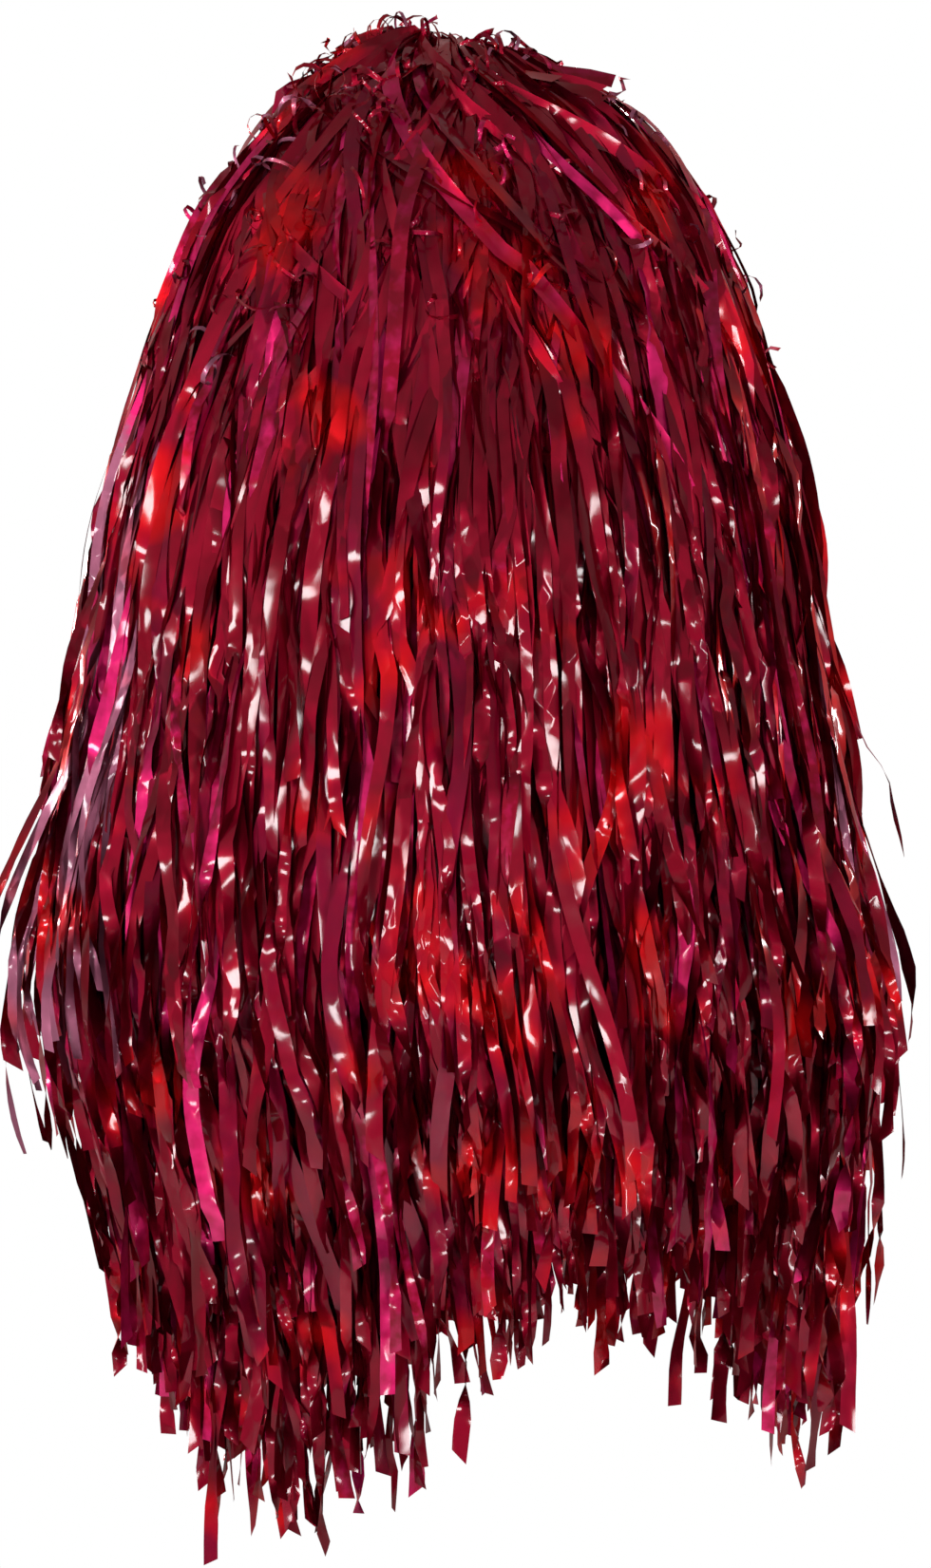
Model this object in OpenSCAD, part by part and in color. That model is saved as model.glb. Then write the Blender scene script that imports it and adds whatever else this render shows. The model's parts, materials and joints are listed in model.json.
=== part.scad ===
// Cheer pom pom: a moulded loop handle held in the fist, with cut metallic film strips that leave a
// clamped neck above the knuckles, fold over a round crown and hang down all round the hand.
// The grip bar's centre is the origin, the bar runs along X and the strips hang along -Z.

/* [Handle] */
// Distance between the centrelines of the loop's two arms
loop_w = 92; // [88:1:96]
// Height of the loop's top bar above the grip bar, centre to centre
loop_h = 39.5; // [38:0.5:41]
// Radius of the loop's round section
loop_r = 6.5; // [6:0.1:7]
// Wall of the two moulded half shells
shell_wall = 2; // [1.6:0.1:2.4]
// Centreline radius of the two upper corners
upper_corner_r = 22; // [20:1:24]
// Centreline radius of the two lower corners
lower_corner_r = 10; // [9:0.5:12]
// Outer radius of the cup that clamps the film
cup_r = 15; // [14:0.5:17]
// Wall of the cup
cup_wall = 3; // [2.5:0.1:4]
// Height of the cup's rim above the grip bar
cup_top = 56; // [54:0.5:57]
// Number of stiffening ribs around the cup
cup_ribs = 16; // [8:2:20]

/* [Grip sleeve] */
// Outer radius of the foam sleeve
sleeve_r = 9.5; // [8.5:0.1:10.5]
// Length of the foam sleeve
sleeve_l = 70; // [60:1:71]
// Width of the slit that lets the sleeve snap over the bar
sleeve_slit = 1.2; // [0.8:0.1:2]

/* [Fasteners] */
// Radius of a screw's thread
screw_r = 1.2; // [1:0.1:1.3]
// Radius of a screw's pan head
screw_head_r = 2.3; // [2:0.1:2.4]
// Length of a screw under its head
screw_l = 9; // [8:0.5:9.5]
// Radius of the pin that the film is folded over
pin_r = 2; // [1.5:0.1:2.5]
// Width of the cable tie around the neck
tie_w = 4.8; // [3.6:0.1:5]
// Thickness of the cable tie's strap
tie_t = 1.3; // [1:0.1:1.6]

/* [Film strips] */
// Height of the crown above the grip bar
crown_top = 83; // [81:0.5:84]
// Mean height where the outer layer of strips ends
outer_end = -238; // [-245:1:-225]
// Mean height where the inner layer of strips ends
inner_end = -262; // [-270:1:-255]
// How far strips of one tuft end above or below each other
ragged = 16; // [5:1:20]
// How much lower the strips hang in front on the left than opposite
lean = 10; // [0:1:15]
// How much shorter the strips are where they lie over the forearm
forearm_lift = 46; // [0:1:50]
// How much shorter the strips are on the left side
left_lift = 12; // [0:1:20]
// How much longer the outer strips are on the right side
right_drop = 24; // [0:1:25]

/* [Hidden] */
$fn = 64;
clear = 0.15;
overlap = 0.1;
arm_x = loop_w / 2;
top_bar_x = arm_x - upper_corner_r;
low_bar_x = arm_x - lower_corner_r;
inner_r = loop_r - shell_wall;
neck_r = cup_r - cup_wall - 3.2;
neck_top = crown_top - 20;
boss_r = screw_head_r + 1.1;
head_seat_y = -4.4;
// The strips around the hand are grouped in tufts, and the short ones on top in crown tufts
tufts = 12;
crown_tufts = 6;
// Radius and height of the ring that the tufts swing about
swing_r = 38;
swing_z = 54;
// One tuft's share of the circle, and the gap that keeps it off its neighbours
tuft_angle = 360 / tufts;
skirt_half = tuft_angle / 2 - 0.45;
shoulder_half = tuft_angle / 2 - 3.8;
crown_half = 180 / crown_tufts - 0.4;
// Each tuft's strips end in this many separate locks
locks = 3;
// The strips are shorter over the forearm, which leaves them in front and to the right, and on
// the left, and longer on the right, each within a reach to both sides of a direction
forearm_azimuth = 304;
forearm_reach = 36;
longest_azimuth = 236;
left_azimuth = 185;
left_reach = 40;
right_azimuth = 0;
right_reach = 45;

screw_spots = [
    for (s = [-1, 1]) [s * arm_x, 13.5],
    for (s = [-1, 1]) [s * 21, loop_h],
    [0, 0]
];

// A tuft's section above the ring it swings about, as [radius, height] from that ring
shoulder_section = [
    [-7.4, -1], [-7, 3], [-4.5, 7], [0, 8.4], [6, 5.5], [14, -3], [23, -15.5], [28, -25],
    [25, -29], [12, -14], [2, -4]
];
shoulder_profile = [for (p = shoulder_section) [swing_r + p[0], swing_z + p[1]]];
// The surface that parts the outer layer from the inner one
middle_profile = [
    [32, 49], [38, 46.5], [45, 44], [52, 38], [57, 28], [61, 14], [66, 0], [72, -20], [77, -45],
    [81, -75], [86, -105], [90, -138], [92, -170], [90, -215], [87, -250], [83, -310]
];
// The outer surface under the shoulder
outside_profile = [
    [swing_r - 7.4, swing_z], [swing_r, swing_z], [66, 28.8], [71, 15], [76, 3], [81, -10],
    [86, -24], [91, -46], [95, -75], [100, -105], [105, -138], [108, -168], [105, -192],
    [101, -215], [98, -240]
];
// The hollow that the fist and the forearm fill
hollow_profile = [
    [71, -310], [68, -200], [65, -120], [61, -60], [58, 0], [55, 20], [50.5, 33], [46, 42]
];
crown_profile = [
    [2, crown_top + 0.5], [10, crown_top], [18, crown_top - 3], [26, crown_top - 7.5],
    [32, crown_top - 13], [31, neck_top + 2.5], [22, neck_top + 1], [2, neck_top + 0.5]
];

function numbered(name, i) = str(name, i < 10 ? "_0" : "_", i);
function azimuth(i) = (i - 0.5) * tuft_angle;
function reversed(points) = [for (i = [len(points) - 1:-1:0]) points[i]];
function above(points, z) = [for (p = points) if (p[1] > z) p];

// How near a direction is to a middle one: 1 at it and 0 at reach degrees away or more
function near(a, middle, reach) =
    let (apart = abs(a - middle)) cos(90 * min(1, min(apart, 360 - apart) / reach));
// Height where one lock of strips ends
function lock_end(i, lock, mean, phase, drop) =
    let (a = azimuth(i) + (lock - 1) * tuft_angle / locks)
    mean + ragged * sin(137 * i + 101 * lock + phase)
    - lean * cos(a - longest_azimuth)
    + forearm_lift * min(1, 1.8 * near(a, forearm_azimuth, forearm_reach))
    + left_lift * near(a, left_azimuth, left_reach)
    - drop * near(a, right_azimuth, right_reach);

// A profile turned about the upright axis, centred on an azimuth
module fan(points, centre, half) {
    rotate([0, 0, centre - half]) rotate_extrude(angle = 2 * half) polygon(points);
}

// The round bar bent into the closed loop, at any section radius
module loop_bar(r) {
    for (s = [-1, 1]) {
        translate([s * arm_x, 0, lower_corner_r])
            cylinder(r = r, h = loop_h - upper_corner_r - lower_corner_r);
        loop_corner(s, top_bar_x, loop_h - upper_corner_r, upper_corner_r, s > 0 ? 0 : 90, r);
        loop_corner(s, low_bar_x, lower_corner_r, lower_corner_r, s > 0 ? 270 : 180, r);
    }
    translate([-top_bar_x, 0, loop_h]) rotate([0, 90, 0]) cylinder(r = r, h = 2 * top_bar_x);
    translate([-low_bar_x, 0, 0]) rotate([0, 90, 0]) cylinder(r = r, h = 2 * low_bar_x);
}

module loop_corner(side, x, z, bend_r, start, r) {
    translate([side * x, 0, z]) rotate([90, 0, 0]) rotate([0, 0, start])
        rotate_extrude(angle = 90) translate([bend_r, 0]) circle(r);
}

// The cup on the loop's top bar, with a rim, ribs and the hole for the pin
module cup() {
    cup_bottom = loop_h + 2;
    difference() {
        union() {
            translate([0, 0, cup_bottom]) cylinder(r = cup_r, h = cup_top - cup_bottom);
            translate([0, 0, cup_top - 2.5]) cylinder(r = cup_r + 1.5, h = 2.5);
            for (i = [0:cup_ribs - 1])
                rotate([0, 0, (i + 0.5) * 360 / cup_ribs])
                    translate([cup_r - 0.5, -0.8, loop_h + 4])
                        cube([1.6, 1.6, cup_top - loop_h - 5]);
        }
        translate([0, 0, loop_h + loop_r + 1]) cylinder(r = cup_r - cup_wall, h = 20);
        translate([0, 0, loop_h + loop_r + 5]) rotate([90, 0, 0])
            cylinder(r = pin_r, h = 4 * cup_r, center = true);
    }
}

// One half of the hollow loop: side -1 is the front half, side 1 the rear half
module half_shell(side) {
    difference() {
        union() {
            intersection() {
                union() {
                    difference() { loop_bar(loop_r); loop_bar(inner_r); }
                    cup();
                }
                half_space(side);
            }
            intersection() {
                for (p = screw_spots)
                    translate([p[0], 0, p[1]]) rotate([90, 0, 0])
                        cylinder(r = boss_r, h = 2 * loop_r - 1.2, center = true);
                half_space(side);
            }
        }
        for (p = screw_spots) translate([p[0], 0, p[1]]) screw_hole(side);
    }
}

module half_space(side) {
    translate([0, side * (50 + clear / 3), 20]) cube([200, 100, 200], center = true);
}

module screw_hole(side) {
    rotate([90, 0, 0]) {
        translate([0, 0, -4.8]) cylinder(r = screw_r + 0.05, h = 12);
        if (side < 0) translate([0, 0, -head_seat_y]) cylinder(r = screw_head_r + 0.3, h = 8);
    }
}

module handle_front_shell() { color([0.07, 0.07, 0.08]) half_shell(-1); }
module handle_rear_shell() { color([0.07, 0.07, 0.08]) half_shell(1); }

module handle_screws() {
    color("silver") for (p = screw_spots)
        translate([p[0], head_seat_y, p[1]]) rotate([90, 0, 0]) difference() {
            union() {
                cylinder(r = screw_head_r, h = 1.5);
                translate([0, 0, -screw_l]) cylinder(r = screw_r, h = screw_l);
            }
            for (a = [0, 90]) rotate([0, 0, a])
                translate([-1.3, -0.25, 0.7]) cube([2.6, 0.5, 1]);
        }
}

module grip_sleeve() {
    color([0.12, 0.12, 0.13]) difference() {
        rotate([0, 90, 0]) rotate_extrude() polygon([
            [loop_r + clear, -sleeve_l / 2], [sleeve_r - 1, -sleeve_l / 2],
            [sleeve_r, 1 - sleeve_l / 2], [sleeve_r, sleeve_l / 2 - 1],
            [sleeve_r - 1, sleeve_l / 2], [loop_r + clear, sleeve_l / 2]
        ]);
        translate([-sleeve_l, -sleeve_slit / 2, -2 * sleeve_r])
            cube([2 * sleeve_l, sleeve_slit, 2 * sleeve_r]);
    }
}

// A tubular pin across the cup, flush with the cup's outside
module anchor_pin() {
    color("silver") translate([0, 0, loop_h + loop_r + 5]) rotate([90, 0, 0]) difference() {
        cylinder(r = pin_r - clear / 3, h = 2 * cup_r - 1, center = true);
        cylinder(r = pin_r - 0.6, h = 4 * cup_r, center = true);
    }
}

// The stack of film folded over the pin, as it fills the cup
module film_core() {
    color([0.5, 0.03, 0.12]) difference() {
        translate([0, 0, loop_h + loop_r + 1 + clear])
            cylinder(r = cup_r - cup_wall - clear, h = cup_top - loop_h - loop_r - 1);
        translate([0, 0, loop_h + loop_r + 5]) rotate([90, 0, 0])
            cylinder(r = pin_r + clear, h = 4 * cup_r, center = true);
    }
}

// The film gathered to a waist under the cable tie
module film_neck() {
    bottom = cup_top + 2 * clear;
    tie_z = (bottom + neck_top) / 2;
    color([0.5, 0.03, 0.12]) rotate_extrude() polygon([
        [0, bottom], [neck_r + 2.2, bottom], [neck_r, tie_z - tie_w / 2],
        [neck_r, tie_z + tie_w / 2], [neck_r + 1.6, neck_top], [0, neck_top]
    ]);
}

module cable_tie() {
    tie_z = (cup_top + 2 * clear + neck_top) / 2;
    strap_r = neck_r + clear;
    color([0.9, 0.9, 0.9]) translate([0, 0, tie_z]) {
        difference() {
            cylinder(r = strap_r + tie_t, h = tie_w - 0.4, center = true);
            cylinder(r = strap_r, h = tie_w, center = true);
        }
        translate([-3, strap_r + 0.5, -tie_w / 2 + 0.2]) cube([6, 4.2, tie_w - 0.4]);
        translate([-6.5, strap_r + 2, -tie_w / 2 + 0.6]) cube([4, tie_t, tie_w - 1.2]);
    }
}

// A static share of the crown above the neck
module crown_fringe(i) {
    color([0.55, 0.04, 0.14]) fan(crown_profile, (i - 0.5) * 360 / crown_tufts, crown_half);
}

// Everything under the ends of a tuft's locks, to be cut away
module lock_ends(i, mean, phase, drop) {
    lock_angle = tuft_angle / locks;
    for (lock = [0:locks - 1]) {
        end = lock_end(i, lock, mean, phase, drop);
        fan([[40, -340], [130, -340], [130, end], [40, end]],
            azimuth(i) + (lock - 1) * lock_angle, lock_angle / 2 + overlap);
    }
}

// The outer layer of one tuft: it leaves the crown, bends over the shoulder and hangs
module outer_fringe(i) {
    lowest = outer_end - ragged - lean - right_drop - 1;
    skirt = concat(
        above(outside_profile, lowest), [[97, lowest], [90, lowest]],
        reversed(above(middle_profile, lowest))
    );
    color([0.42, 0.03, 0.08]) {
        fan(shoulder_profile, azimuth(i), shoulder_half);
        difference() {
            fan(skirt, azimuth(i), skirt_half);
            lock_ends(i, outer_end, 0, right_drop);
        }
    }
}

// The inner layer of the same tuft, which lines the hollow and reaches lowest
module inner_fringe(i) {
    gap = 0.5;
    outside = [for (p = middle_profile) if (p[0] > 50) [p[0] - gap, p[1] - gap]];
    skirt = concat([[46.5, 42.5]], outside, hollow_profile);
    color([0.34, 0.02, 0.06]) difference() {
        fan(skirt, azimuth(i), skirt_half);
        lock_ends(i, inner_end, 60, right_drop / 2);
    }
}

handle_front_shell();
handle_rear_shell();
handle_screws();
grip_sleeve();
anchor_pin();
film_core();
film_neck();
cable_tie();
for (i = [1:crown_tufts])
    crown_fringe(i);
for (i = [1:tufts])
    outer_fringe(i);
for (i = [1:tufts])
    inner_fringe(i);
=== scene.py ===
"""Cheer pom pom: every film strip as its own ribbon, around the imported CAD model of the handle.

Lengths are in metres, in the frame of the CAD model: the origin is the grip bar's centre, the bar
runs along X, the strips hang along -Z and the camera looks along +Y.
"""

import json
import math

import bpy
import numpy as np
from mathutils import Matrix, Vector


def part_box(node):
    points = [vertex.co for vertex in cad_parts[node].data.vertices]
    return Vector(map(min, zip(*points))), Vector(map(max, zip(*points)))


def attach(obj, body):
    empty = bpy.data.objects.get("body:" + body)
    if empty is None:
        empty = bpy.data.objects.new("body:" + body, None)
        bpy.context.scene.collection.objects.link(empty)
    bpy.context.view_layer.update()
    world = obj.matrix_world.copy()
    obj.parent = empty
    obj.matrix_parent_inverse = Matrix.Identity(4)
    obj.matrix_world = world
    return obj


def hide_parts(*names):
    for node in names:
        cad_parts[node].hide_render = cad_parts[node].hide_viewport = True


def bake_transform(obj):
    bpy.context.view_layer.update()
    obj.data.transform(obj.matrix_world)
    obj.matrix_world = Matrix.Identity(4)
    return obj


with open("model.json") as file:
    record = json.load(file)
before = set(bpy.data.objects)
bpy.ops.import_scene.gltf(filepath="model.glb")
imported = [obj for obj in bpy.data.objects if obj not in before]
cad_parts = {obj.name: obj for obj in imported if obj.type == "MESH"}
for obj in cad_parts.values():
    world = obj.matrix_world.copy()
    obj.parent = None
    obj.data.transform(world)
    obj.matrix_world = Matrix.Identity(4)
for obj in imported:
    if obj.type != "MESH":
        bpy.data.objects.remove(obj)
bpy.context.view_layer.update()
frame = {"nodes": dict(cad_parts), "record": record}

MM = 0.001
TURN = 2 * math.pi
random = np.random.default_rng(226)
# The slants of the strips' cut ends are drawn apart from everything else
cuts = np.random.default_rng(5)
CUT_SLANT = 0.45

# ---------------------------------------------------------------- camera

IMAGE_HEIGHT = 1651
MM_PER_PIXEL = 0.2375
VIEW_CENTRE = (3.4 * MM, 0.0, -103.5 * MM)
VIEW_DISTANCE = 1.9
VIEW_ELEVATION = math.radians(1.5)


def make_camera():
    data = bpy.data.cameras.new("camera")
    data.sensor_width = 36
    data.lens = data.sensor_width * VIEW_DISTANCE / (IMAGE_HEIGHT * MM_PER_PIXEL * MM)
    camera = bpy.data.objects.new("camera", data)
    bpy.context.collection.objects.link(camera)
    x, y, z = VIEW_CENTRE
    camera.location = (
        x,
        y - VIEW_DISTANCE * math.cos(VIEW_ELEVATION),
        z + VIEW_DISTANCE * math.sin(VIEW_ELEVATION),
    )
    camera.rotation_euler = (math.pi / 2 - VIEW_ELEVATION, 0, 0)
    bpy.context.scene.camera = camera


# ---------------------------------------------------------------- materials

# Colours of the lacquered film, as linear red, green and blue
DARK = (0.1, 0.001, 0.006)
CRIMSON = (0.135, 0.001, 0.009)
WINE = (0.1, 0.001, 0.012)
SCARLET = (0.32, 0.002, 0.003)
MAGENTA = (0.4, 0.009, 0.085)
# MAUVE, which the pale strips reach, is a painted reflection: the pale sheen of the white
# surroundings on strips at the outline
MAUVE = (0.20, 0.06, 0.10)
# Strips are given a tint from 0 to ORDINARY_TINT; the pale ones at the outline have
# PALE_REFLECTION_TINT, which paints on them a reflection of the white surroundings
ORDINARY_TINT = 0.88
PALE_REFLECTION_TINT = 1.1


class Nodes:
    """The node tree of a material or world, with short calls to add and join nodes."""

    def __init__(self, owner):
        owner.use_nodes = True
        self.owner = owner
        self.tree = owner.node_tree
        self.shader = self.tree.nodes.get("Principled BSDF")

    def add(self, kind, inputs=None, **settings):
        node = self.tree.nodes.new(kind)
        for key, value in settings.items():
            setattr(node, key, value)
        for key, value in (inputs or {}).items():
            if isinstance(value, bpy.types.NodeSocket):
                self.tree.links.new(value, node.inputs[key])
            else:
                node.inputs[key].default_value = value
        return node

    def map_range(self, value, from_low, from_high, to_low, to_high):
        """Maps from_low..from_high to to_low..to_high and keeps to that range."""
        inputs = {"Value": value, "From Min": from_low, "From Max": from_high,
                  "To Min": to_low, "To Max": to_high}
        return self.add("ShaderNodeMapRange", inputs).outputs[0]

    def ramp(self, factor, stops):
        node = self.add("ShaderNodeValToRGB", {"Fac": factor})
        elements = node.color_ramp.elements
        while len(elements) < len(stops):
            elements.new(0.5)
        for element, (place, colour) in zip(elements, stops):
            element.position = place
            element.color = (*colour, 1)
        return node.outputs["Color"]

    def grey_ramp(self, factor, low, high, low_place=0.3, high_place=0.7):
        """From one number at low_place to another at high_place."""
        return self.ramp(factor, [(low_place, (low,) * 3), (high_place, (high,) * 3)])

    def noise(self, vector, scale, detail=2.0, roughness=0.5):
        inputs = {"Vector": vector, "Scale": scale, "Detail": detail, "Roughness": roughness}
        return self.add("ShaderNodeTexNoise", inputs).outputs["Fac"]

    def bump(self, height, distance, strength, normal=None):
        inputs = {"Height": height, "Distance": distance, "Strength": strength}
        if normal is not None:
            inputs["Normal"] = normal
        return self.add("ShaderNodeBump", inputs).outputs["Normal"]

    def faceted(self, normal, vector, scale, amount):
        """A normal tilted by a different small amount in each cell of a Voronoi pattern."""
        cells = self.add("ShaderNodeMapping", {"Vector": vector, "Scale": scale})
        cells = self.add("ShaderNodeTexVoronoi", {"Vector": cells.outputs[0], "Scale": 1.0,
                                                  "Smoothness": 0.3}, feature="SMOOTH_F1")
        middle = (0.5, 0.5, 0.5)
        tilt = self.add("ShaderNodeVectorMath", {0: cells.outputs["Color"], 1: middle},
                        operation="SUBTRACT")
        tilt = self.add("ShaderNodeVectorMath", {0: tilt.outputs[0], "Scale": amount},
                        operation="SCALE")
        total = self.add("ShaderNodeVectorMath", {0: normal, 1: tilt.outputs[0]})
        return self.add("ShaderNodeVectorMath", {0: total.outputs[0]},
                        operation="NORMALIZE").outputs[0]

    def link(self, value, socket):
        self.tree.links.new(value, self.shader.inputs[socket])

    def set(self, **values):
        for key, value in values.items():
            self.shader.inputs[key.replace("_", " ")].default_value = value


def film_material(name):
    """Lacquered metallic film: soft crimson under clear lacquer, smooth or crinkled by patches."""
    n = Nodes(bpy.data.materials.new(name))
    tint = n.add("ShaderNodeAttribute", attribute_name="tint").outputs["Fac"]
    along = n.add("ShaderNodeUVMap", uv_map="strip").outputs["UV"]
    place = n.add("ShaderNodeTexCoord").outputs["Object"]
    streak = n.noise(along, 0.9, 2.0)
    shift = n.add("ShaderNodeMath", {0: streak, 1: 0.16, 2: tint}, operation="MULTIPLY_ADD")
    centred = n.add("ShaderNodeMath", {0: shift.outputs[0], 1: 0.1}, operation="SUBTRACT")
    stops = [(0.0, DARK), (0.18, CRIMSON), (0.5, CRIMSON), (0.66, WINE), (0.76, CRIMSON),
             (0.86, MAGENTA), (0.92, MAGENTA), (1.0, MAUVE)]
    lacquer = n.ramp(centred.outputs[0], stops)
    patch = n.grey_ramp(n.noise(place, 36.0), 0.0, 0.85, 0.56, 0.68)
    mixed = n.add("ShaderNodeMix", {0: patch, 6: lacquer, 7: (*SCARLET, 1)}, data_type="RGBA")
    # Painted light: the film's colour is scaled from 1.05 times low down to 1.7 times over the
    # crown, standing in for more light on the crown
    height = n.add("ShaderNodeSeparateXYZ", {"Vector": place}).outputs["Z"]
    crown_painted_light = n.map_range(height, -60 * MM, 60 * MM, 1.05, 1.7)
    shade = n.add("ShaderNodeVectorMath", {0: mixed.outputs[2], "Scale": crown_painted_light},
                  operation="SCALE")
    n.link(shade.outputs[0], "Base Color")

    # Facets, each tilted its own way: broad ones all along, and fine ones where it is crinkled
    crinkled = n.grey_ramp(n.noise(place, 26.0), 0.0, 0.52, 0.47, 0.66)
    normal = n.bump(n.noise(along, 0.5, 1.0, 0.4), 0.0015, 0.07)
    normal = n.faceted(normal, along, (0.5, 0.2, 1.0), 0.12)
    normal = n.faceted(normal, along, (1.2, 0.6, 1.0), crinkled)
    n.link(normal, "Normal")
    n.link(normal, "Coat Normal")
    n.link(n.grey_ramp(n.noise(along, 0.7), 0.42, 0.56), "Roughness")
    n.set(Metallic=0.95, Specular_Tint=(1.0, 0.08, 0.16, 1.0))
    n.set(Coat_Weight=0.4, Coat_Roughness=0.1, Coat_IOR=1.5)
    return n.owner


def moulded_material(name, colour, roughness, grain=1400.0):
    """Moulded plastic with a fine spark-eroded grain and slight mottling."""
    n = Nodes(bpy.data.materials.new(name))
    place = n.add("ShaderNodeTexCoord").outputs["Object"]
    mottle = n.noise(place, 60.0, 4.0)
    low = tuple(c * 0.8 for c in colour)
    high = tuple(min(1, c * 1.25) for c in colour)
    n.link(n.ramp(mottle, [(0.3, low), (0.7, high)]), "Base Color")
    n.link(n.bump(n.noise(place, grain, 3.0), 0.0001, 0.25), "Normal")
    patches = n.noise(place, 180.0)
    n.link(n.grey_ramp(patches, roughness - 0.06, roughness + 0.06), "Roughness")
    return n.owner


def foam_material():
    """Closed-cell foam: small open pores in a matt black skin."""
    n = Nodes(bpy.data.materials.new("foam"))
    place = n.add("ShaderNodeTexCoord").outputs["Object"]
    cells = n.add("ShaderNodeTexVoronoi", {"Vector": place, "Scale": 900.0}).outputs["Distance"]
    # The pores are painted darker than the skin round them: painted shade in their hollows
    n.link(n.ramp(cells, [(0.0, (0.012,) * 3), (0.6, (0.045, 0.045, 0.05))]), "Base Color")
    n.link(n.bump(cells, 0.0004, 0.7), "Normal")
    n.link(n.grey_ramp(n.noise(place, 40.0), 0.8, 0.95), "Roughness")
    return n.owner


def steel_material():
    """Zinc-plated steel with faint turning marks."""
    n = Nodes(bpy.data.materials.new("steel"))
    place = n.add("ShaderNodeTexCoord").outputs["Object"]
    marks = n.noise(place, 900.0, 4.0)
    n.link(n.ramp(marks, [(0.3, (0.50, 0.50, 0.52)), (0.7, (0.72, 0.72, 0.74))]), "Base Color")
    n.link(n.bump(marks, 0.00005, 0.3), "Normal")
    n.link(n.grey_ramp(n.noise(place, 120.0), 0.22, 0.4), "Roughness")
    n.set(Metallic=1.0)
    return n.owner


# ---------------------------------------------------------------- strips

STRIP_W = 4.0 * MM
STEP = 4.5 * MM
# The strips lean this far to the right below a height, and have done so after a further drop
SWAY = 9 * MM
SWAY_TOP = -105 * MM
SWAY_DROP = 140 * MM
# Sections of the outermost and the innermost strips, as (radius, height) in mm from the neck down
OUTER_RUN = [
    (2, 57), (3, 66), (5, 75), (10, 81), (18, 79.5), (27, 74), (38, 64.5), (49, 53), (59, 39.5),
    (66, 25), (72, 10), (77, -5), (83, -22), (88, -40), (92, -62), (96, -88), (100, -114),
    (103, -142), (102, -166), (97, -192), (91, -220), (87, -250), (85, -290), (84, -330),
]
INNER_RUN = [
    (8, 57), (8.4, 61), (12, 64), (18, 65.5), (25, 64), (32, 60), (38, 54.5), (44, 47), (49, 38),
    (53, 27), (56, 14), (58, 0), (60, -18), (61, -40), (62, -64), (63.5, -92), (65, -120),
    (66, -148), (67, -176), (68, -205), (69, -235), (70, -265), (72, -300), (74, -335),
]


def smooth_curve(points, count):
    """count points along a Catmull-Rom curve through the given points."""
    p = np.array(points, float)
    p = np.vstack([2 * p[0] - p[1], p, 2 * p[-1] - p[-2]])
    t = np.linspace(0, len(points) - 1, count)
    i = np.minimum(t.astype(int), len(points) - 2)
    f = (t - i)[:, None]
    a, b, c, d = p[i], p[i + 1], p[i + 2], p[i + 3]
    return 0.5 * (
        2 * b + (c - a) * f + (2 * a - 5 * b + 4 * c - d) * f**2 + (3 * b - a - 3 * c + d) * f**3
    )


OUTER_CURVE = smooth_curve(OUTER_RUN, 240) * MM
INNER_CURVE = smooth_curve(INNER_RUN, 240) * MM


def waves(s, amplitude, lengths):
    """A smooth random wave along s, made of sines of about the given wavelengths."""
    total = np.zeros_like(s)
    for length in lengths:
        turn = TURN / (length * random.uniform(0.75, 1.3))
        total += random.normal(0, 1) * np.sin(turn * s + random.uniform(0, TURN))
    return amplitude * total / math.sqrt(len(lengths))


def creases(s, amplitude, spacing):
    """A random zigzag along s, with straight runs of about the given spacing."""
    count = max(3, int(s[-1] / spacing) + 2)
    knots = np.sort(random.uniform(0, s[-1], count))
    return np.interp(s, knots, random.normal(0, amplitude, count))


def panels(s, amplitude, spacing):
    """Random steps along s: flat panels of about the given length with a fold between them."""
    count = max(2, int(s[-1] / spacing) + 1)
    folds = np.sort(random.uniform(0, s[-1], count))
    return random.normal(0, amplitude, count + 1)[np.searchsorted(folds, s)]


def unit(v):
    return v / np.maximum(np.linalg.norm(v, axis=-1, keepdims=True), 1e-9)


def ease(x):
    x = np.clip(x, 0, 1)
    return x * x * (3 - 2 * x)


# The crown's surface is uneven: how far it stands out or in, and its random share at each spot
LUMP = 3.2 * MM
LUMPS = random.normal(0, 1, 14)


def lump_at(azimuth):
    """How far the crown stands out or in at an azimuth, about -2 to 2."""
    spots = np.arange(len(LUMPS)) * TURN / len(LUMPS)
    return np.interp(azimuth % TURN, spots, LUMPS, period=TURN)


# The crown's peak is left of its middle, and its right side is this much lower
CROWN_DIP = 4.5 * MM


def crown_dip(x, r):
    """How much lower the crown lies than its section, at a place and its distance from the axis."""
    return CROWN_DIP * ease((x + 10 * MM) / (24 * MM)) * (1 - ease((r - 26 * MM) / (26 * MM)))


def run_at(depth):
    """The section that a strip at this depth follows: arc lengths, radii and heights."""
    run = OUTER_CURVE * (1 - depth) + INNER_CURVE * depth
    arc = np.concatenate([[0], np.cumsum(np.linalg.norm(np.diff(run, axis=0), axis=1))])
    return arc, run[:, 0], run[:, 1]


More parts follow.
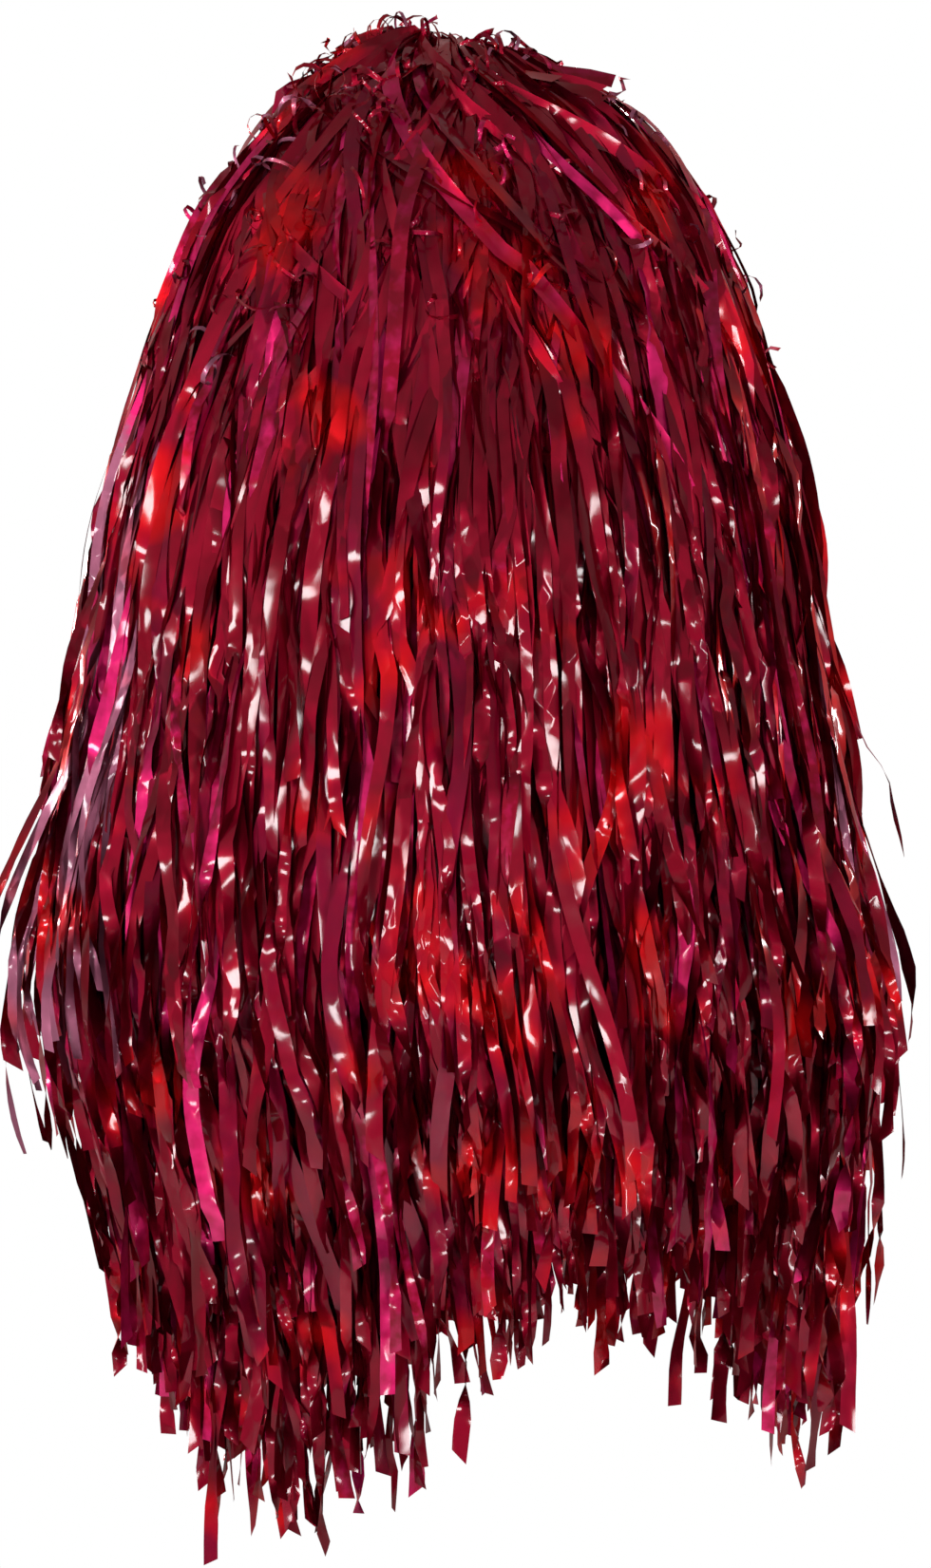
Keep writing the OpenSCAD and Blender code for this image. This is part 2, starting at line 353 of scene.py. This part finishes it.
def strip_path(depth, azimuth, length, swirl, swirl_length, drift, flare):
    """Centre line of one strip, with the directions across it and out of it at each point.

    swirl turns it round the neck and dies out over swirl_length, drift moves it sideways as it
    falls and flare moves its end outwards.
    """
    arc, radii, heights = run_at(depth)
    s = np.linspace(0, length, max(8, int(length / STEP)) + 1)
    r, z = np.interp(s, arc, radii), np.interp(s, arc, heights)
    free = ease((s - 15 * MM) / (60 * MM))
    side = waves(s, 2.4 * MM, (200 * MM, 90 * MM)) + creases(s, 1.0 * MM, 34 * MM)
    lift = waves(s, 1.6 * MM, (200 * MM, 100 * MM)) + creases(s, 1.0 * MM, 28 * MM)
    end = ease((s - 0.75 * length) / (0.25 * length))
    r = r + free * lift + flare * ease((s - 0.68 * length) / (0.32 * length)) ** 1.5
    lump = LUMP * lump_at(azimuth) * ease(s / (25 * MM)) * (1 - ease((s - 90 * MM) / (110 * MM)))
    r, z = r + 0.8 * lump, z + 0.4 * lump * (1 - ease((s - 40 * MM) / (60 * MM)))
    splay = random.normal(0, 4.0) * (2.5 if random.uniform() < 0.12 else 1.0)
    r = r + end * min(splay, 10) * MM
    a = azimuth + swirl * (1 - ease(s / swirl_length)) + drift * (s / length) ** 1.3
    a = a + end * math.radians(random.normal(0, 3.4))
    a = a + free * side / np.maximum(r, 12 * MM)
    sway = SWAY * ease((SWAY_TOP - z) / SWAY_DROP)
    z = z - crown_dip(r * np.cos(a), r) * ease(s / (25 * MM))
    points = np.stack([r * np.cos(a) + sway, r * np.sin(a), z], axis=1)
    tangent = unit(np.gradient(points, axis=0))
    radial = np.stack([np.cos(a), np.sin(a), 0.25 + 0 * a], axis=1)
    across = unit(np.cross(tangent, radial))
    return s, points, across, np.cross(across, tangent)


def curl_path(start, heading, axis, radius, length, rise):
    """A short strip that leaves start along heading and rolls up about axis."""
    s = np.linspace(0, length, max(8, int(length / (2.2 * MM))) + 1)
    turn = np.cumsum(np.full_like(s, s[1] / radius)) * (0.35 + 0.9 * s / length)
    heading = unit(heading - axis * np.dot(heading, axis))
    other = np.cross(axis, heading)
    tangent = np.cos(turn)[:, None] * heading + np.sin(turn)[:, None] * other + rise * axis
    tangent = unit(tangent)
    points = start + np.concatenate([[np.zeros(3)], np.cumsum(tangent[:-1] * s[1], axis=0)])
    across = unit(np.tile(axis, (len(s), 1)) - tangent * (tangent @ axis)[:, None])
    return s, points, across, np.cross(across, tangent)


class Ribbons:
    """Collects strips and turns them into one mesh, three points across each strip.

    width is the sum of the strips' widths, as they lie side by side before they are gathered.
    """

    def __init__(self):
        self.points, self.faces, self.uvs, self.tints = [], [], [], []
        self.count = 0
        self.width = self.area = 0.0

    def add(self, s, centre, across, outward, width, twist, curl, tint):
        face = np.cos(twist)[:, None] * across + np.sin(twist)[:, None] * outward
        normal = np.cos(twist)[:, None] * outward - np.sin(twist)[:, None] * across
        middle = centre + normal * (curl * width)[:, None]
        rows = np.stack([centre - face * width / 2, middle, centre + face * width / 2], axis=1)
        # The end is cut at a slant
        slant = unit(centre[-1] - centre[-2]) * width * cuts.uniform(-CUT_SLANT, CUT_SLANT)
        rows[-1, 0] -= slant
        rows[-1, 2] += slant
        n = len(s)
        at = self.count + 3 * np.arange(n - 1)
        for column in (0, 1):
            a = at + column
            self.faces.append(np.stack([a, a + 1, a + 4, a + 3], axis=1))
        shift = random.uniform(0, 50, 2)
        u = np.tile([0.0, 0.5, 1.0], n) + shift[0]
        v = np.repeat(s / width, 3) + shift[1]
        self.points.append(rows.reshape(-1, 3))
        self.uvs.append(np.stack([u, v], axis=1))
        self.tints.append(np.repeat(np.broadcast_to(tint, n), 3))
        self.count += 3 * n
        self.width += width
        self.area += width * s[-1]

    def build(self, name, material):
        points = np.concatenate(self.points)
        faces = np.concatenate(self.faces)
        mesh = bpy.data.meshes.new(name)
        mesh.vertices.add(len(points))
        mesh.vertices.foreach_set("co", points.astype(np.float32).ravel())
        mesh.loops.add(4 * len(faces))
        mesh.loops.foreach_set("vertex_index", faces.astype(np.int32).ravel())
        mesh.polygons.add(len(faces))
        mesh.polygons.foreach_set("loop_start", np.arange(0, 4 * len(faces), 4, dtype=np.int32))
        mesh.polygons.foreach_set("use_smooth", np.ones(len(faces), bool))
        uv = mesh.uv_layers.new(name="strip")
        loops = np.concatenate(self.uvs)[faces.ravel()]
        uv.data.foreach_set("uv", loops.astype(np.float32).ravel())
        tint = mesh.attributes.new("tint", "FLOAT", "POINT")
        tint.data.foreach_set("value", np.concatenate(self.tints).astype(np.float32))
        mesh.materials.append(material)
        mesh.update()
        mesh.validate()
        piece = bpy.data.objects.new(name, mesh)
        bpy.context.collection.objects.link(piece)
        return piece


def hem_of(layer):
    """Azimuth and lowest height of each of a layer's CAD solids, in order round the hand."""
    spots = []
    for joint in frame["record"]["behaviour"]["joints"]:
        x, y = joint["pos_m"][:2]
        node = layer + "_fringe_" + joint["child"].rsplit("_", 1)[1]
        spots.append((math.atan2(y, x) % TURN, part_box(node)[0][2]))
    return np.array(sorted(spots)).T


HEMS = {layer: hem_of(layer) for layer in ("outer", "inner")}
# Strips hang together in clumps, each a little longer or shorter than the rest
CLUMPS = 84
CLUMP_DROPS = random.normal(0, 6 * MM, CLUMPS)


def clump_of(azimuth):
    """The clump of strips that hangs at an azimuth, and how far its middle is from there."""
    place = (azimuth % TURN) / TURN * CLUMPS
    return int(place) % CLUMPS, (int(place) + 0.5 - place) * TURN / CLUMPS


def hem_height(layer, azimuth):
    """About how low a layer's strips reach at an azimuth."""
    azimuths, heights = HEMS[layer]
    lowest = np.interp(azimuth % TURN, azimuths, heights, period=TURN)
    return lowest + CLUMP_DROPS[clump_of(azimuth)[0]]


def length_to(depth, height):
    """How long a strip at this depth is that ends at a height."""
    arc, radii, heights = run_at(depth)
    top = int(np.argmax(heights))
    return np.interp(-height, -heights[top:], arc[top:])


def add_strip(ribbons, azimuth, depth, length, flare=0.0, drift=6.0, pale=False, spread=30):
    """One strip that leaves the neck, goes over the crown and hangs down.

    spread is about how many degrees it turns round the neck, drift how many it wanders below.
    """
    swirl = math.radians(random.normal(0, spread))
    swirl_length = random.uniform(90, 210) * MM
    drift = math.radians(random.normal(0, drift)) + 0.5 * clump_of(azimuth)[1]
    path = strip_path(depth, azimuth, length, swirl, swirl_length, drift, flare)
    s = path[0]
    width = STRIP_W * random.triangular(0.5, 1.05, 1.1) * (0.6 if pale else 1.0)
    twist = random.normal(0, 0.4) + waves(s, 0.25, (300 * MM,))
    twist = twist + panels(s, 0.38, 30 * MM)
    loose = ease((s - 0.72 * length) / (0.28 * length))
    twist = twist + loose * (random.normal(0, 1.3) + waves(s, 0.9, (60 * MM, 35 * MM)))
    curl = np.full_like(s, random.normal(0, 0.02)) + panels(s, 0.02, 30 * MM)
    own_tint = random.uniform(0, ORDINARY_TINT)
    # A pale strip's colour turns to the painted reflection of PALE_REFLECTION_TINT along its lower
    # part
    if pale:
        own_tint = own_tint + (PALE_REFLECTION_TINT - own_tint) * ease((s - 110 * MM) / (60 * MM))
    ribbons.add(*path, width, twist, curl, own_tint)


def add_curl(ribbons, azimuth, arc_place):
    """A crinkled end that sticks out of the crown and rolls up."""
    arc, radii, heights = run_at(0.0)
    r, z = np.interp(arc_place, arc, radii), np.interp(arc_place, arc, heights)
    ahead_r = np.interp(arc_place + 4 * MM, arc, radii)
    ahead_z = np.interp(arc_place + 4 * MM, arc, heights)
    radial = np.array([math.cos(azimuth), math.sin(azimuth), 0])
    sideways = np.array([-math.sin(azimuth), math.cos(azimuth), 0])
    down = unit(radial * (ahead_r - r) + np.array([0, 0, ahead_z - z]))
    out = np.cross(down, sideways)
    heading = unit(out * random.uniform(0.6, 1.2) + down * random.normal(0.4, 0.5)
                   + sideways * random.normal(0, 0.6))
    axis = unit(random.normal(0, 1, 3))
    dip = crown_dip(r * math.cos(azimuth), r)
    start = radial * (r - 1 * MM) + np.array([0, 0, z - 1 * MM - dip])
    length = random.uniform(10, 28) * MM
    path = curl_path(start, heading, axis, random.uniform(2.5, 6.0) * MM, length,
                     random.normal(0, 0.35))
    s = path[0]
    width = STRIP_W * random.uniform(0.2, 0.36)
    twist = waves(s, 0.5, (30 * MM,))
    # Some curls at the sides of the outline are painted pale: a painted reflection of the white
    # surroundings
    pale = abs(math.cos(azimuth)) > 0.6 and random.uniform() < 0.45
    tint = PALE_REFLECTION_TINT if pale else random.uniform(0, ORDINARY_TINT)
    ribbons.add(*path, width, twist, np.full_like(s, 0.05), tint)


BRIDGE_POINTS = 24


def add_bridge(ribbons):
    """A short strip that lies right across the crown, a little off its middle."""
    arc, radii, heights = run_at(0.0)
    top = int(np.argmax(heights))
    turn = random.uniform(0, TURN)
    along = np.array([math.cos(turn), math.sin(turn)])
    beside = np.array([-along[1], along[0]])
    reach = random.uniform(16, 44, 2) * MM
    t = np.linspace(-reach[0], reach[1], BRIDGE_POINTS)
    wander = random.normal(0, 11 * MM) + waves(t, 1.5 * MM, (60 * MM, 30 * MM))
    plan = t[:, None] * along + wander[:, None] * beside
    r = np.linalg.norm(plan, axis=1)
    z = np.interp(r, radii[top:], heights[top:]) + random.uniform(-5, 0.5) * MM
    z = z + waves(t, 1.2 * MM, (40 * MM, 25 * MM)) - crown_dip(plan[:, 0], r)
    centre = np.column_stack([plan, z])
    s = np.concatenate([[0], np.cumsum(np.linalg.norm(np.diff(centre, axis=0), axis=1))])
    tangent = unit(np.gradient(centre, axis=0))
    up = np.column_stack([plan * 0.6 / (45 * MM), np.ones(BRIDGE_POINTS)])
    across = unit(np.cross(tangent, up))
    twist = random.normal(0, 0.4) + waves(s, 0.4, (60 * MM, 40 * MM))
    width = STRIP_W * random.uniform(0.7, 1.05)
    ribbons.add(s, centre, across, np.cross(across, tangent), width, twist,
                np.zeros(BRIDGE_POINTS), random.uniform(0, ORDINARY_TINT))


# Where the strips end higher than their CAD solid, as (azimuth, reach) in degrees and lift in mm:
# behind the forearm, so that the gap that it leaves can be seen, and beside it at the front
HEM_LIFTS = [(68, 50, 20), (277, 24, 20)]


def end_height(layer, azimuth):
    """Where a strip ends: near the hem for most, and anywhere above it for some outer ones."""
    hem = hem_height(layer, azimuth)
    for middle, reach, lift in HEM_LIFTS:
        away = abs((math.degrees(azimuth) - middle + 180) % 360 - 180)
        hem = hem + lift * MM * (1 - ease(away / reach))
    if layer == "outer":
        if random.uniform() < 0.2:
            return random.uniform(hem, -60 * MM)
        return hem + random.triangular(-10, 16, 90) * MM
    return hem + random.triangular(-6, 16, 70) * MM


def declare(nodes):
    """Hides the CAD solids that a finished piece of strips takes the place of."""
    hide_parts(*nodes)


def bend_to(piece):
    """Bakes the piece's placement into its mesh."""
    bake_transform(piece)


# How many of each there are in a tuft, and how far a tuft reaches to each side of its middle
OUTER_COUNT = 112
INNER_COUNT = 74
SHOULDER_CURLS = 26
STRAYS = 5
SPLAYED_LOCKS = 2
TUFT_REACH = math.radians(18)


def add_splayed_lock(ribbons, azimuth):
    """A few strips that stand off together from the outside, further on the left side."""
    left = max(0.0, -math.cos(azimuth))
    length = length_to(0.0, random.uniform(-200, -160) * MM)
    flare = (random.uniform(1, 4) + 8 * left) * MM
    for i in range(random.integers(4, 9)):
        spot = azimuth + math.radians(random.normal(0, 2.0))
        # Some strips on the far left are painted pale: a painted reflection of the white
        # surroundings
        pale = left > 0.8 and random.uniform() < 0.4
        add_strip(ribbons, spot, 0.0, length + random.normal(0, 12) * MM,
                  flare + random.normal(0, 1.5) * MM, 3.0, pale)


def make_tuft(joint, material):
    """The two layers of strips that go with one joint of the CAD model."""
    body = joint["child"]
    number = body.rsplit("_", 1)[1]
    centre = math.atan2(joint["pos_m"][1], joint["pos_m"][0])
    outer, inner = Ribbons(), Ribbons()
    for i in range(OUTER_COUNT):
        azimuth = centre + TUFT_REACH * random.uniform(-1, 1)
        depth = 0.45 * random.uniform() ** 1.3
        drift = 15.0 if random.uniform() < 0.16 else 5.0
        spread = 80.0 if random.uniform() < 0.15 else 30.0
        length = length_to(depth, end_height("outer", azimuth))
        add_strip(outer, azimuth, depth, length, 0.0, drift, spread=spread)
    for i in range(STRAYS):
        azimuth = centre + TUFT_REACH * random.uniform(-1, 1)
        length = random.uniform(220, 340) * MM
        # Strays at the left and right outline are painted pale: a painted reflection of the white
        # surroundings
        pale = abs(math.cos(azimuth)) > 0.9
        add_strip(outer, azimuth, 0.0, length, random.uniform(1, 5) * MM, 8.0, pale)
    for i in range(SPLAYED_LOCKS):
        add_splayed_lock(outer, centre + TUFT_REACH * random.uniform(-1, 1))
    for i in range(SHOULDER_CURLS):
        azimuth = centre + TUFT_REACH * random.uniform(-1, 1)
        add_curl(outer, azimuth, random.triangular(58, 64, 140) * MM)
    for i in range(INNER_COUNT):
        azimuth = centre + TUFT_REACH * random.uniform(-1, 1)
        depth = random.uniform(0.45, 0.95)
        add_strip(inner, azimuth, depth, length_to(depth, end_height("inner", azimuth)))
    for layer, ribbons in (("outer", outer), ("inner", inner)):
        piece = ribbons.build(layer + "_strips_" + number, material)
        declare([layer + "_fringe_" + number])
        bend_to(piece)


CROWN_STRIPS = 110
BRIDGES = 70
CROWN_CURLS = 330


def make_crown(material):
    """Short strips and curled ends of the crown, which stay with the handle."""
    ribbons = Ribbons()
    for i in range(CROWN_STRIPS):
        azimuth = random.uniform(0, TURN)
        length = random.uniform(42, 66) * MM
        add_strip(ribbons, azimuth, random.uniform(-0.05, 0.12), length, spread=60)
    for i in range(BRIDGES):
        add_bridge(ribbons)
    for i in range(CROWN_CURLS):
        add_curl(ribbons, random.uniform(0, TURN), random.uniform(30, 66) * MM)
    piece = ribbons.build("crown_strips", material)
    crown_nodes = [name for name in frame["nodes"] if name.startswith("crown_fringe")]
    declare(["film_neck", *crown_nodes])
    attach(piece, "handle")


FOLDED_STRIPS = 70
FOLD_POINTS = 40
CUP_REACH = 6.5 * MM


def make_fold(material):
    """The middles of the strips, folded under the pin and up both sides of it inside the cup."""
    low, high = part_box("anchor_pin")
    pin_z, pin_r = (low[2] + high[2]) / 2, (high[2] - low[2]) / 2
    ribbons = Ribbons()
    for i in range(FOLDED_STRIPS):
        y = random.uniform(-CUP_REACH, CUP_REACH)
        r = pin_r + random.uniform(0.2, 1.7) * MM
        left, right = random.uniform(r, CUP_REACH, 2)
        turn = np.linspace(math.pi, TURN, 9)
        under = [(r * math.cos(a), pin_z + r * math.sin(a)) for a in turn]
        beside, top = pin_z + 3 * MM, pin_z + 6.5 * MM
        points = [(-left, top), (-left, beside), *under, (right, beside), (right, top)]
        section = smooth_curve(points, FOLD_POINTS)
        centre = np.stack([section[:, 0], np.full(FOLD_POINTS, y), section[:, 1]], axis=1)
        steps = np.linalg.norm(np.diff(centre, axis=0), axis=1)
        s = np.concatenate([[0], np.cumsum(steps)])
        across = np.tile([0.0, 1.0, 0.0], (FOLD_POINTS, 1))
        outward = np.cross(across, unit(np.gradient(centre, axis=0)))
        flat = np.zeros(FOLD_POINTS)
        ribbons.add(s, centre, across, outward, STRIP_W * 0.9, flat, flat,
                    random.uniform(0, ORDINARY_TINT))
    piece = ribbons.build("film_fold", material)
    declare(["film_core"])
    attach(piece, "handle")


# ---------------------------------------------------------------- handle


def paint(material, *names):
    for name in names:
        node = frame["nodes"][name]
        node.data.materials.clear()
        node.data.materials.append(material)


SLEEVE_BORE = 6.7 * MM
SLEEVE_SLIT = 0.7 * MM
SLEEVE_EDGE = 1.4 * MM
FINGER_DENT = 0.5 * MM
FINGER_SPACING = 19 * MM


def make_sleeve(material):
    """The slit foam sleeve: rounded ends, soft lips along the slit and shallow finger dents."""
    low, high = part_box("grip_sleeve")
    half_length, outer_r = high[0], high[2]
    x = half_length * np.sin(np.linspace(-math.pi / 2, math.pi / 2, 97))
    to_end = np.clip((half_length - np.abs(x)) / SLEEVE_EDGE, 0, 1)
    rounding = SLEEVE_EDGE * (1 - np.sqrt(1 - (1 - to_end) ** 2))
    slit = SLEEVE_SLIT / outer_r
    around = np.linspace(-math.pi / 2 + slit, 1.5 * math.pi - slit, 73)
    to_lip = np.minimum(around - around[0], around[-1] - around) * outer_r
    lip = SLEEVE_EDGE * (1 - np.clip(to_lip / SLEEVE_EDGE, 0, 1)) ** 2 * 0.5
    finger = FINGER_DENT * np.cos(x / FINGER_SPACING * TURN) ** 2
    top = np.clip(np.sin(around), 0, 1)
    outer = outer_r - rounding[:, None] - lip[None, :] - finger[:, None] * top[None, :]
    inner = np.full_like(outer, SLEEVE_BORE)
    grids = []
    for radius in (outer, inner):
        grids.append(np.stack([np.broadcast_to(x[:, None], radius.shape),
                               radius * np.cos(around), radius * np.sin(around)], axis=2))
    rows, columns = outer.shape
    loop = np.concatenate([grids[0], grids[1][:, ::-1]], axis=1)
    width = 2 * columns
    faces = []
    for i in range(rows - 1):
        for j in range(width):
            k = (j + 1) % width
            faces.append((i * width + j, i * width + k, (i + 1) * width + k, (i + 1) * width + j))
    for i, turn in ((0, -1), (rows - 1, 1)):
        for j in range(columns - 1):
            cap = [i * width + n for n in (j, j + 1, width - 2 - j, width - 1 - j)]
            faces.append(cap[::turn])
    mesh = bpy.data.meshes.new("foam_sleeve")
    mesh.from_pydata(loop.reshape(-1, 3).tolist(), [], faces)
    mesh.polygons.foreach_set("use_smooth", np.ones(len(mesh.polygons), bool))
    mesh.materials.append(material)
    sleeve = bpy.data.objects.new("foam_sleeve", mesh)
    bpy.context.collection.objects.link(sleeve)
    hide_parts("grip_sleeve")
    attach(sleeve, "handle")


def finish_handle():
    paint(moulded_material("handle_plastic", (0.02, 0.02, 0.023), 0.42),
          "handle_front_shell", "handle_rear_shell")
    paint(steel_material(), "handle_screws", "anchor_pin")
    paint(moulded_material("tie_nylon", (0.72, 0.72, 0.68), 0.4, 600.0), "cable_tie")


# ---------------------------------------------------------------- studio


def square_light(name, place, aim, side, power):
    """A square area light that shines at aim, unseen by the camera."""
    data = bpy.data.lights.new(name, "AREA")
    data.shape = "SQUARE"
    data.size = side
    data.energy = power
    light = bpy.data.objects.new(name, data)
    bpy.context.collection.objects.link(light)
    light.location = place
    light.visible_camera = False
    back = [p - a for p, a in zip(place, aim)]
    direction = np.array(back) / np.linalg.norm(back)
    light.rotation_euler = (
        math.acos(direction[2]), 0, math.atan2(direction[1], direction[0]) + math.pi / 2
    )


def make_world():
    """White for the camera, but dim and uneven for the film to mirror, dimmest in front."""
    world = bpy.data.worlds.new("studio")
    bpy.context.scene.world = world
    n = Nodes(world)
    n.tree.nodes.clear()
    around = n.add("ShaderNodeTexCoord").outputs["Generated"]
    split = n.add("ShaderNodeSeparateXYZ", {0: around})
    front_to_back = n.map_range(split.outputs["Y"], -0.4, 0.8, 0.23, 0.5)
    level_to_top = n.map_range(split.outputs["Z"], 0.0, 0.8, 1.0, 1.5)
    clouds = n.map_range(n.noise(around, 2.6, 1.0), 0.35, 0.65, 0.6, 1.55)
    strength = n.add("ShaderNodeMath", {0: front_to_back, 1: level_to_top}, operation="MULTIPLY")
    strength = n.add("ShaderNodeMath", {0: strength.outputs[0], 1: clouds}, operation="MULTIPLY")
    grey = (0.8, 0.8, 0.8, 1)
    mirrored = n.add("ShaderNodeBackground", {"Color": grey, "Strength": strength.outputs[0]})
    seen = n.add("ShaderNodeBackground", {"Color": (1, 1, 1, 1), "Strength": 1.0})
    to_camera = n.add("ShaderNodeLightPath").outputs["Is Camera Ray"]
    inputs = {0: to_camera, 1: mirrored.outputs[0], 2: seen.outputs[0]}
    mixed = n.add("ShaderNodeMixShader", inputs)
    n.add("ShaderNodeOutputWorld", {0: mixed.outputs[0]})


FLOOR_RADIUS = 3.5
FLOOR_HEIGHT = -0.95


def make_floor():
    """A pale round floor under the hanging object, below the camera's frame."""
    bpy.ops.mesh.primitive_circle_add(vertices=96, radius=FLOOR_RADIUS, fill_type="NGON",
                                      location=(0, 0, FLOOR_HEIGHT))
    floor = bpy.context.object
    floor.name = "studio_floor"
    n = Nodes(bpy.data.materials.new("floor"))
    place = n.add("ShaderNodeTexCoord").outputs["Object"]
    n.link(n.grey_ramp(n.noise(place, 3.0), 0.72, 0.76), "Base Color")
    n.set(Roughness=0.9, Emission_Strength=0.4)
    floor.data.materials.append(n.owner)


# Bright square lights, as (x, y, z, side) in metres: a few broad ones and several small ones
GLINTS = [
    (-1.5, -0.9, 0.1, 0.3), (0.9, -1.5, 0.0, 0.26), (-0.55, -1.7, 0.25, 0.26),
    (0.2, -1.8, 0.35, 0.13), (1.5, -0.8, -0.2, 0.13), (-1.7, -0.3, 0.25, 0.13),
    (-0.35, -1.6, -0.75, 0.16), (0.55, -1.6, -0.65, 0.16),
    (1.4, 0.9, 0.2, 0.2), (-0.9, 1.5, 0.0, 0.2), (0.3, 1.8, 0.4, 0.16),
]
GLINT_WATTS_PER_M2 = 160


def make_studio():
    middle = (0, 0, -0.1)
    for number, (x, y, z, side) in enumerate(GLINTS):
        power = GLINT_WATTS_PER_M2 * side * side
        square_light("glint_%d" % number, (x, y, z), middle, side, power)
    make_world()
    make_floor()
    bpy.context.scene.view_settings.view_transform = "Standard"


# ---------------------------------------------------------------- build

make_camera()
film = film_material("film")
finish_handle()
make_sleeve(foam_material())
make_fold(film)
for joint in frame["record"]["behaviour"]["joints"]:
    make_tuft(joint, film)
make_crown(film)
make_studio()
